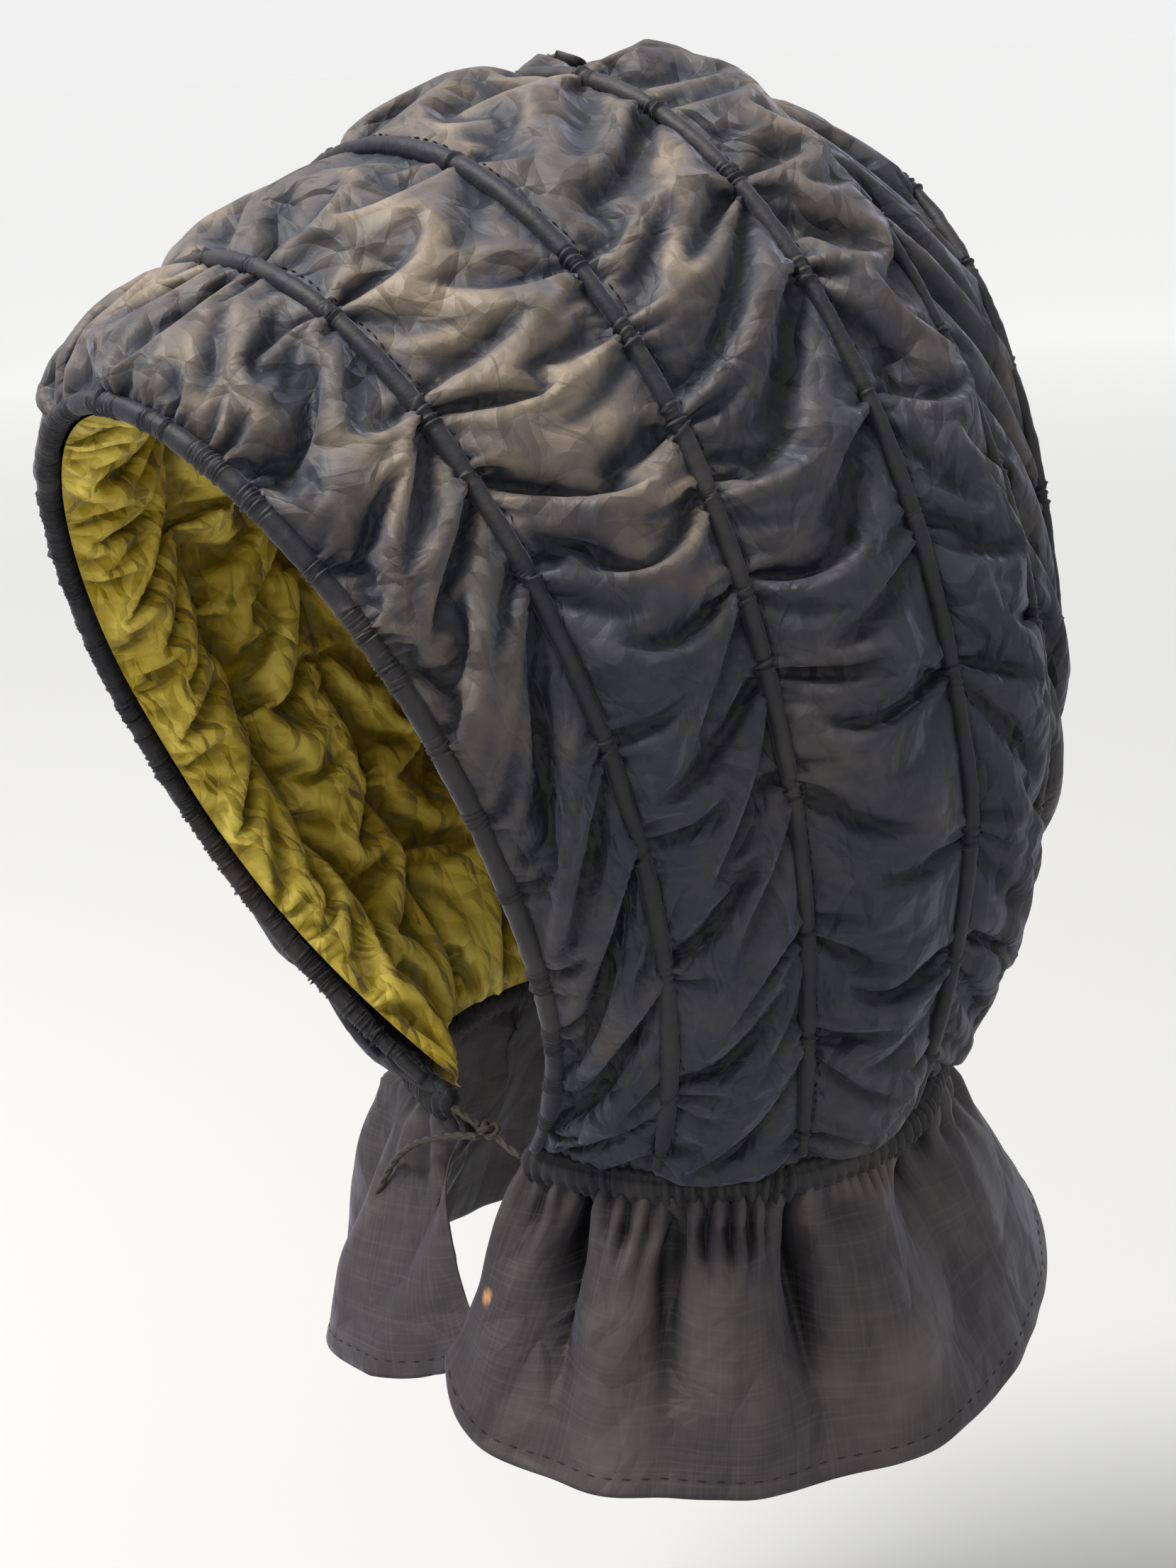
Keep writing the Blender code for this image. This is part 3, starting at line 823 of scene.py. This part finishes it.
def set_numbers(piece, name, values):
    attribute = piece.data.attributes.new(name, "FLOAT", "POINT")
    attribute.data.foreach_set("value", np.asarray(values, np.float32).reshape(-1))


def set_tone(piece, values):
    """How pale or dark the cloth is made at each point: above 0 it is paler, worn on its ridges and, on the
    cover's crown and front, partly painted light; below 0 it is painted shade, dark in its folds and beside
    the hoops.
    """
    set_numbers(piece, "tone", values)


def set_cut(piece, rows, columns, width, length):
    """The place of each point in the flat cut, in metres, as the piece's UV."""
    across, down = np.meshgrid(np.linspace(0, width, columns), np.linspace(0, length, rows))
    flat = np.stack([across.reshape(-1), down.reshape(-1)], axis=1)
    corners = np.empty(len(piece.data.loops), np.int64)
    piece.data.loops.foreach_get("vertex_index", corners)
    layer = piece.data.uv_layers.new(name="cut")
    layer.data.foreach_set("uv", flat[corners].astype(np.float32).reshape(-1))


def fade_and_painted_light(rows, columns):
    """How pale each point of the cover is made: in the WORN patches, which are wear, and most on the crown
    and the front panels near the camera and least at the sides, partly wear and partly painted light from
    above.
    """
    panel = np.linspace(0, PANELS + BACK_STEPS / PANEL_STEPS, rows)[:, None]
    from_crown = np.linspace(0.5, -0.5, columns)[None] * COVER_WIDTH
    # Partly wear and partly painted light: the crown and front panels paler, the low sides darker, as the
    # light from above falls.
    share = 0.70 * np.exp(-((from_crown / 0.16) ** 2)) * np.exp(-((panel / 3.4) ** 4))
    share = share - 0.22 * np.clip((np.abs(from_crown) - 0.20) / 0.08, 0, 1) * np.clip(panel / 1.5, 0, 1)
    for patch in WORN:
        over = (panel - patch.panel) / patch.wide
        along_hoop = (from_crown - patch.from_crown) / patch.long
        share = share + patch.share * np.exp(-(over**2 + along_hoop**2))
    return share


def make_cover(material):
    steps = PANEL_STEPS // 2
    columns = (COVER_COLUMNS + 1) // 2
    cloth, flat, area = silk_grid(False, 1.0, columns, steps, BACK_STEPS // 2, *COVER_ROUNDS, SEED)
    rows, columns = cloth.shape[:2]
    outward = [face[::-1] for face in grid_faces(rows, columns)]
    cover = mesh_piece("silk_hood", cloth, outward, material)
    # The tone: painted shade in the folds and beside each hoop, paler on the ridges, as wear, and paler on
    # the crown and front, partly wear and partly painted light.
    stands_out = relief(cloth, HOOD_MIDDLE, 6)
    ridge = np.clip(stands_out / 0.0016, 0, 1)
    painted_shade = np.clip(-stands_out / 0.0017, 0, 1)
    tone = fade_and_painted_light(rows, columns) * (0.55 + 0.45 * ridge) + 0.10 * ridge - painted_shade
    for row in HOOP_ROWS:
        tone[row - 1: row + 2] -= HOOP_SHADE
    set_tone(cover, np.maximum(tone, -0.8))
    set_cut(cover, rows, columns, *flat)
    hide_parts("silk_cover")
    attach(cover, "root")
    return cloth


def make_lining(material):
    cloth, flat, area = silk_grid(True, LINING_DRAW, *LINING_GRID, *LINING_ROUNDS, SEED + 1)
    rows, columns = cloth.shape[:2]
    lining = mesh_piece("yellow_lining", cloth, grid_faces(rows, columns), material)
    # The lining's tone: painted shade where it lies back from the inside, and paler where it stands in
    # towards the head.
    stands_out = relief(cloth, HOOD_MIDDLE, 6)
    set_tone(lining, np.clip(-stands_out / 0.002, -0.6, 1))
    set_cut(lining, rows, columns, *flat)
    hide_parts("lining")
    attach(lining, "root")
    return cloth


def wrap_clusters(hoop, length, rng, rim):
    """The places along a hoop where thread or tucks wrap it, with how many turns each has."""
    found = []
    for side in (-1, 1):
        for place in hoop.tucks:
            at = length / 2 + side * place
            found.append((at, int(rng.integers(4, 12) if rim else rng.integers(1, 5))))
    if rim:
        for at in np.arange(length / 2 + 0.02, length - 0.02, 0.0075):
            found.append((at + rng.uniform(-0.002, 0.002), int(rng.integers(3, 7))))
    return found


def stitch_rows(name, cloth, pairs, offset, thread):
    """Running stitches laid on the silk beside hoops; pairs gives each hoop with the one behind it."""
    surface = BVHTree.FromPolygons([Vector(p) for p in cloth.reshape(-1, 3)], grid_faces(*cloth.shape[:2]))
    rng = np.random.default_rng(SEED + 6)
    spindles = []
    for hoop, behind in pairs:
        line = hoop_line(hoop)
        seam = line + square_to(line, hoop_line(behind) - line) * SEAM_BEHIND_HOOP
        length = travelled(seam)[-1]
        for start in np.arange(0.02, length - 0.02, STITCH_SPACING):
            reach = STITCH_LENGTH * rng.uniform(0.8, 1.15)
            path = along(seam, np.array([start, start + reach / 2, start + reach]))
            path = path + rng.uniform(-0.00025, 0.00025, 3)
            lain = []
            for point in path:
                place, facing, _, _ = surface.find_nearest(Vector(point))
                outward = facing.dot(Vector(point) - INSIDE_HOOD)
                lain.append(np.array(place + facing * math.copysign(1.0, outward) * offset))
            steps = np.linalg.norm(np.diff(lain, axis=0), axis=1)
            # Over a fold's edge a stitch would collapse or stretch, so it is left out.
            if steps.min() > 0.25 * reach and steps.sum() < 1.6 * reach:
                spindles.append((np.array(lain), STITCH_RADII))
    piece = tube_piece(name, spindles, 5, thread)
    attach(piece, "root")


def make_hoops(material):
    rng = np.random.default_rng(SEED + 2)
    for number, hoop in enumerate(HOOPS, start=1):
        rim = number == 1
        line = hoop_line(hoop)
        length = travelled(line)[-1]
        clusters = wrap_clusters(hoop, length, rng, rim)
        pitch = 0.0011 if rim else 0.0021
        wrap_width = 0.00034 if rim else 0.00055
        places = [np.arange(HOOP_FOOT, length - HOOP_FOOT, 0.0022)]
        wraps = []
        for at, turns in clusters:
            for i in range(turns):
                middle = at + (i - (turns - 1) / 2) * pitch * rng.uniform(0.8, 1.2)
                slant = rng.uniform(-1, 1) * pitch
                wraps.append((middle, slant, rng.uniform(0.3, 1.4), rng.uniform(0, 6.3)))
            reach = turns * pitch / 2 + 0.0014
            places.append(np.arange(at - reach, at + reach, 0.00024))
        s = np.unique(np.concatenate(places))
        s = s[(s >= HOOP_FOOT) & (s <= length - HOOP_FOOT)]
        s = s[np.concatenate([[True], np.diff(s) > 0.00009])]
        path = along(line, s)
        sides = 12
        turn = np.linspace(0, 2 * math.pi, sides, endpoint=False)
        radius = (RIM_R if rim else CHANNEL_R[number - 2]) - 0.0002
        from_foot = np.minimum(s, length - s) - HOOP_FOOT
        r = radius * (0.62 + 0.38 * np.clip(from_foot / 0.035, 0, 1))[:, None] * np.ones((1, sides))
        wobble = np.interp(s, np.linspace(0, length, 120), smooth_noise(rng, 120, 2))
        r += 0.00015 * wobble[:, None]
        steps = np.arange(0, length, 0.0012)
        for harmonic in range(1, 4):
            pucker = np.interp(s, steps, smooth_noise(rng, len(steps), 1))
            r += 0.00009 * pucker[:, None] * np.cos(harmonic * turn + rng.uniform(0, 6.3))[None, :]
        for at, turns in clusters:
            r -= 0.00025 * np.exp(-(((s - at) / (0.0007 * turns + 0.001)) ** 2))[:, None]
        for middle, slant, size, facing in wraps:
            size = size * (0.75 + 0.25 * np.cos(turn - facing))[None, :]
            shift = s[:, None] - middle - slant * np.cos(turn - facing)[None, :]
            r += 1.9 * wrap_width * size * np.exp(-((shift / wrap_width) ** 2))
            groove = (shift - 1.6 * wrap_width) / (0.55 * wrap_width)
            r -= 1.3 * wrap_width * size * np.exp(-(groove**2))
        name = "rim_channel" if rim else f"channel_{number}"
        piece = tube_piece(name, [(path, r)], sides, material)
        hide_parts("rim_hoop" if rim else f"hoop_{number}")
        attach(piece, "root")


def make_neck_casing(material):
    rng = np.random.default_rng(SEED + 3)
    angles = np.linspace(CASING_FRONT_DEG, 360 - CASING_FRONT_DEG, 1500)
    line = np.array([neck_point(a) for a in angles])
    length = travelled(line)[-1]
    count = round(length / 0.0007)
    path = along(line, np.linspace(0, length, count))
    sides = 28
    turn = np.linspace(0, 2 * math.pi, sides, endpoint=False)
    phase = np.cumsum(rng.uniform(0.6, 1.4, count)) * 2 * math.pi * 0.0007 / 0.0040
    tilt = 1.3 * smooth_noise(rng, count, 10)
    upright = np.abs(np.sin(turn))
    band = 1 / np.sqrt((np.cos(turn) / BAND_HALF_THICK) ** 2 + (upright / BAND_HALF_HIGH) ** 2)
    pinch = 0.0007 * np.exp(-(((upright - 0.78) / 0.10) ** 2))
    ridge = np.sin(phase[:, None] + tilt[:, None] * np.sin(turn)[None, :] * 0.6)
    size = np.clip(0.95 + 0.40 * smooth_noise(rng, count, 6), 0.5, 1.6)
    r = band - pinch + 0.0011 * size[:, None] * ridge
    r = r + 0.0004 * smooth_noise(rng, count, 20)[:, None]
    from_end = np.minimum(np.arange(count), np.arange(count)[::-1]) * length / (count - 1)
    r = r * np.sqrt(1 - np.clip(1 - from_end / 0.006, 0, 0.98) ** 2)[:, None]
    piece = tube_piece("neck_ruching", [(path, r)], sides, material)
    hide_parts("neck_casing")
    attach(piece, "root")


def curtain_flare(angle):
    front = (CURTAIN_FRONT_FLARE - CURTAIN_SIDE_FLARE) * max(0.0, math.cos(angle)) ** 2
    back = (CURTAIN_BACK_FLARE - CURTAIN_SIDE_FLARE) * max(0.0, -math.cos(angle)) ** 2
    return math.radians(CURTAIN_SIDE_FLARE + front + back)


def fold_depth(angle_deg, level):
    """How far folds carry the curtain out at an angle, from the casing (level 0) to the hem (level 1)."""
    depth = 0.0
    for fold in FOLDS:
        if fold.depth < 0:
            half = fold.half_deg * (0.55 + 0.9 * level)
            sharpness = 1.15 + 0.7 * level
            share = math.exp(-(level / 0.62) ** 3)
        else:
            half = fold.half_deg
            sharpness = 2.0
            share = math.sin(math.pi * (0.20 + 0.7 * level))
        depth += fold.depth * share * math.exp(-(abs(angle_deg - fold.at_deg) / half) ** sharpness)
    for dent in DENTS:
        round_neck = (angle_deg - dent.at_deg) / dent.half_deg
        down = (level - dent.level) / dent.half_level
        depth += dent.depth * math.exp(-(round_neck**2 + down**2))
    return depth


def curtain_form(rows, columns):
    """The curtain on the part's own form, with its gathers at the casing in the top row."""
    share = np.linspace(0, 1, columns)
    out = np.empty((rows, columns, 3))
    for r, level in enumerate(np.linspace(0, 1, rows)):
        edge = CASING_FRONT_DEG + (CURTAIN_EDGE_DEG - CASING_FRONT_DEG) * level
        far_start = 360 - CASING_FRONT_DEG
        far_edge = far_start + (FAR_EDGE_DEG - far_start) * level
        for c, angle_deg in enumerate(edge + (far_edge - edge) * share):
            from_edge = min(angle_deg - edge, far_edge - angle_deg)
            corner = CURTAIN_CORNER * math.exp(-from_edge / CURTAIN_CORNER_DEG) * level**2
            depth = CURTAIN_TOP + (CURTAIN_DEPTH - corner - CURTAIN_TOP) * level
            angle = math.radians(angle_deg)
            flare = curtain_flare(angle)
            outward = np.array([math.sin(angle), -math.cos(angle), 0.0])
            swing = fold_depth(angle_deg, level) * min(1.0, level / 0.10)
            swing -= FAR_TUCKED * level * min(1.0, max(0.0, (angle_deg - 350) / 10))
            top = neck_point(angle_deg)
            if angle_deg > 360:
                top[2] += RIGHT_LIFT
            reach = math.sin(flare) * (depth - CURTAIN_TOP) + swing
            drop = CURTAIN_TOP + math.cos(flare) * (depth - CURTAIN_TOP)
            out[r, c] = top + outward * reach - np.array([0, 0, drop])
    return out


def gathers(rng, rows, columns, width):
    """The height of small folds that run down from the casing, fewer and wider further down."""
    level = np.linspace(0, 1, rows)[:, None]
    step = width / (columns - 1)
    total = np.zeros((rows, columns))
    waves = ((0.0062, 0.0, 0.09, 0.17), (0.012, 0.07, 0.13, 0.16), (0.026, 0.20, 0.22, 0.08))
    for wave, top, reach, height in waves:
        near = round(wave / step)
        rate = np.clip(1 + 0.45 * smooth_noise(rng, columns, 2 * near), 0.3, 2.0)
        phase = np.cumsum(rate) * step / wave * 2 * math.pi
        lean = 0.5 * smooth_noise(rng, columns, 3 * near)
        size = np.clip(0.55 + 0.55 * smooth_noise(rng, columns, 2 * near), 0.05, 1.5)
        window = np.exp(-(((level - top) / reach) ** 2))
        total += height * wave * size * window * np.sin(phase + lean * level / reach)
    return total


def make_curtain(material, thread):
    """The curtain: the part's own form with its gathers, deeper folds and an uneven surface."""
    rng = np.random.default_rng(SEED + 4)
    rows, columns = CURTAIN_ROWS, CURTAIN_COLUMNS
    form = curtain_form(rows, columns)
    normal = normals_of(form, NECK_CENTRE)
    width = travelled(form[rows // 3])[-1]
    start = form + normal * gathers(rng, rows, columns, width)[..., None]
    level = np.linspace(0, 1, rows)[:, None]
    uneven = 0.0016 * smooth_field(rng, (rows, columns), 16)
    uneven += 0.0004 * smooth_field(rng, (rows, columns), 5)
    cloth = start + normal * (uneven * np.clip(level / 0.2, 0, 1))[..., None]
    outward = normals_of(cloth, NECK_CENTRE)
    turned = np.clip((level - HEM_LEVEL) / 0.01, 0, 1)
    cloth = cloth + outward * (0.0003 * turned)[..., None]
    curtain = mesh_piece("curtain_silk_sheet", cloth, grid_faces(rows, columns), material)
    set_cut(curtain, rows, columns, CURTAIN_CUT, CURTAIN_DEPTH)
    # The curtain's tone: painted shade in its folds, and paler on its ridges, as wear.
    stands_out = relief(cloth, NECK_CENTRE, 8)
    set_tone(curtain, 0.5 * np.clip(stands_out / 0.002, 0, 1) - np.clip(-stands_out / 0.002, 0, 1))
    stain_row = round((rows - 1) * STAIN_LEVEL)
    stain_column = int(np.searchsorted(travelled(cloth[stain_row]), STAIN_FROM_EDGE))
    away = np.linalg.norm(cloth - cloth[stain_row, stain_column], axis=2)
    set_numbers(curtain, "stain", np.clip((STAIN_REACH - away) / 0.0012, 0, 1))
    shell = curtain.modifiers.new("Thickness", "SOLIDIFY")
    shell.thickness = CURTAIN_THICKNESS
    shell.offset = 0.0
    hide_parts("neck_curtain")
    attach(curtain, "root")
    row = round((rows - 1) * HEM_LEVEL)
    hem = stitches_along(cloth[row] + outward[row] * 0.00035, HEM_STITCH_SPACING, HEM_STITCH_LENGTH)
    stitches = tube_piece("hem_stitches", hem, 5, thread)
    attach(stitches, "root")


def stitches_along(line, spacing, length):
    """Short spindles along a line, as paths with their radii."""
    total = travelled(line)[-1]
    found = []
    for start in np.arange(spacing, total - spacing, spacing):
        path = along(line, np.array([start, start + length / 2, start + length]))
        found.append((path, HEM_STITCH_RADII))
    return found


def make_stage():
    mesh = bpy.data.meshes.new("floor")
    side = FLOOR_HALF_SIDE
    corners = [(x * side, y * side, FLOOR_Z) for x, y in ((-1, -1), (1, -1), (1, 1), (-1, 1))]
    mesh.from_pydata(corners, [], [(0, 1, 2, 3)])
    mesh.materials.append(floor_with_painted_shade())
    floor = new_object("floor", mesh)


def area_light(name, place, target, size, power, colour):
    data = bpy.data.lights.new(name, "AREA")
    data.shape = "DISK"
    data.size = size
    data.energy = power
    data.color = colour
    lamp = new_object(name, data)
    lamp.location = place
    lamp.rotation_euler = (Vector(target) - Vector(place)).to_track_quat("-Z", "Y").to_euler()


def set_light():
    world = bpy.data.worlds.new("studio")
    bpy.context.scene.world = world
    world.use_nodes = True
    sky = world.node_tree.nodes["Background"]
    sky.inputs["Color"].default_value = (1.0, 1.0, 1.0, 1.0)
    sky.inputs["Strength"].default_value = 0.88
    area_light("key", (-0.35, -0.95, 1.65), (0, 0, -0.15), 0.9, 82.0, (1.0, 0.985, 0.96))
    area_light("side", (1.5, -1.4, 0.9), (0, 0, -0.2), 0.5, 4.0, (0.95, 0.97, 1.0))
    bpy.context.scene.view_settings.view_transform = "Standard"


def main():
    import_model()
    set_camera()
    cord = taffeta("tie_cord_silk", (0.030, 0.027, 0.020), (0.085, 0.075, 0.055), 0.6, 0.6)
    make_tie(cord)
    crisp = ((24.0, 0.22), (58.0, 0.22), (150.0, 0.09))
    dark = taffeta("dark_taffeta", (0.017, 0.019, 0.028), (0.165, 0.130, 0.096), 0.27, 0.58, crisp)
    casing = taffeta("casing_taffeta", (0.010, 0.010, 0.013), (0.070, 0.058, 0.047), 0.4, 0.60)
    yellow = taffeta("yellow_taffeta", (0.34, 0.240, 0.010), (0.66, 0.52, 0.085), 0.7, 0.50,
                     ((40.0, 0.24), (95.0, 0.20)))
    curtain = taffeta("curtain_taffeta", (0.024, 0.021, 0.024), (0.092, 0.079, 0.074), 0.5, 0.58,
                      ((28.0, 0.12), (70.0, 0.08)), 0.22, (0.42, 0.20, 0.08))
    inner = make_lining(yellow)
    cloth = make_cover(dark)
    make_hoops(casing)
    make_neck_casing(casing)
    thread = taffeta("dark_thread", (0.004, 0.004, 0.004), (0.02, 0.018, 0.015), 0.2, 0.8)
    brown_thread = taffeta("brown_thread", (0.06, 0.04, 0.008), (0.12, 0.08, 0.02), 0.5, 0.8)
    make_curtain(curtain, thread)
    pairs = list(zip(HOOPS[1:-1], HOOPS[2:]))
    stitch_rows("channel_stitches", cloth, pairs, 0.00022, thread)
    stitch_rows("lining_stitches", inner, pairs[:3], -0.00018, brown_thread)
    make_stage()
    set_light()


main()
